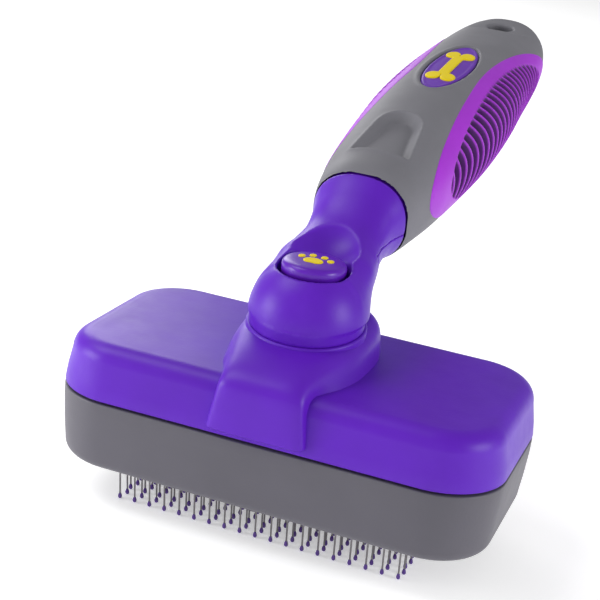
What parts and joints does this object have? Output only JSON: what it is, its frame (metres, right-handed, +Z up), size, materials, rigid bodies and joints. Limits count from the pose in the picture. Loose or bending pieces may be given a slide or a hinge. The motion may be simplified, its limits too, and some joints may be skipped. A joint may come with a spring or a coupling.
{
  "type": "slicker brush",
  "caption": "Self-cleaning slicker brush for pets: a wide head with bent wire pins, a push button on the neck that slides a perforated guard down the pins, and a ribbed grip.",
  "frame": {"origin": "centre of the brush's footprint, at the level of the pin tips", "axes": "+X along the head, +Y towards the end of the handle, +Z up from the pins to the handle"},
  "size_m": [0.105, 0.1978, 0.1008],
  "materials": {
    "purple_plastic": "satin ABS with a fine spark texture",
    "grey_plastic": "satin grey ABS",
    "grey_rubber": "matte soft-touch rubber",
    "magenta_rubber": "satin soft rubber",
    "badge_purple": "gloss printed plate",
    "yellow_print": "raised yellow ink",
    "white_plastic": "natural acetal",
    "cushion_rubber": "dark rubber pad",
    "wire_steel": "drawn stainless wire",
    "spring_steel": "spring wire",
    "screw_steel": "zinc-plated steel",
    "tip_purple": "glossy resin beads"
  },
  "bodies": {
    "brush": {"head_shell": "purple_plastic", "saddle": "purple_plastic", "saddle_screws": "screw_steel", "neck_shell": "purple_plastic", "neck_screws": "screw_steel", "handle_cover": "purple_plastic", "handle_screws": "screw_steel", "grip_sleeve": "grey_rubber", "side_pad_left": "magenta_rubber", "side_pad_right": "magenta_rubber", "badge_plate": "badge_purple", "badge_emblem": "yellow_print", "pin_bed": "grey_plastic", "bed_screws": "screw_steel", "pin_cushion": "cushion_rubber", "pins_field": "wire_steel", "pins_corner": "wire_steel", "tips_field": "tip_purple", "tips_corner": "tip_purple"},
    "guard": {"guard_tray": "grey_plastic", "guide_posts": "wire_steel", "push_plate": "white_plastic", "post_screws": "screw_steel", "return_springs": "spring_steel"},
    "button": {"button_cap": "purple_plastic", "button_emblem": "yellow_print", "button_stem": "white_plastic"}
  },
  "joints": [
    {"name": "guard_slide", "type": "slide", "parent": "brush", "child": "guard", "axis": [0, 0, -1], "range_m": [0, 0.008], "stiffness_N_per_m": 1400, "springref_m": -0.004, "deforming": ["return_springs"]},
    {"name": "button_press", "type": "slide", "parent": "brush", "child": "button", "axis": [0, 0, -1], "range_m": [0, 0.008]}
  ],
  "couplings": [
    {"joint": "button_press", "follows": "guard_slide", "ratio": 1}
  ]
}
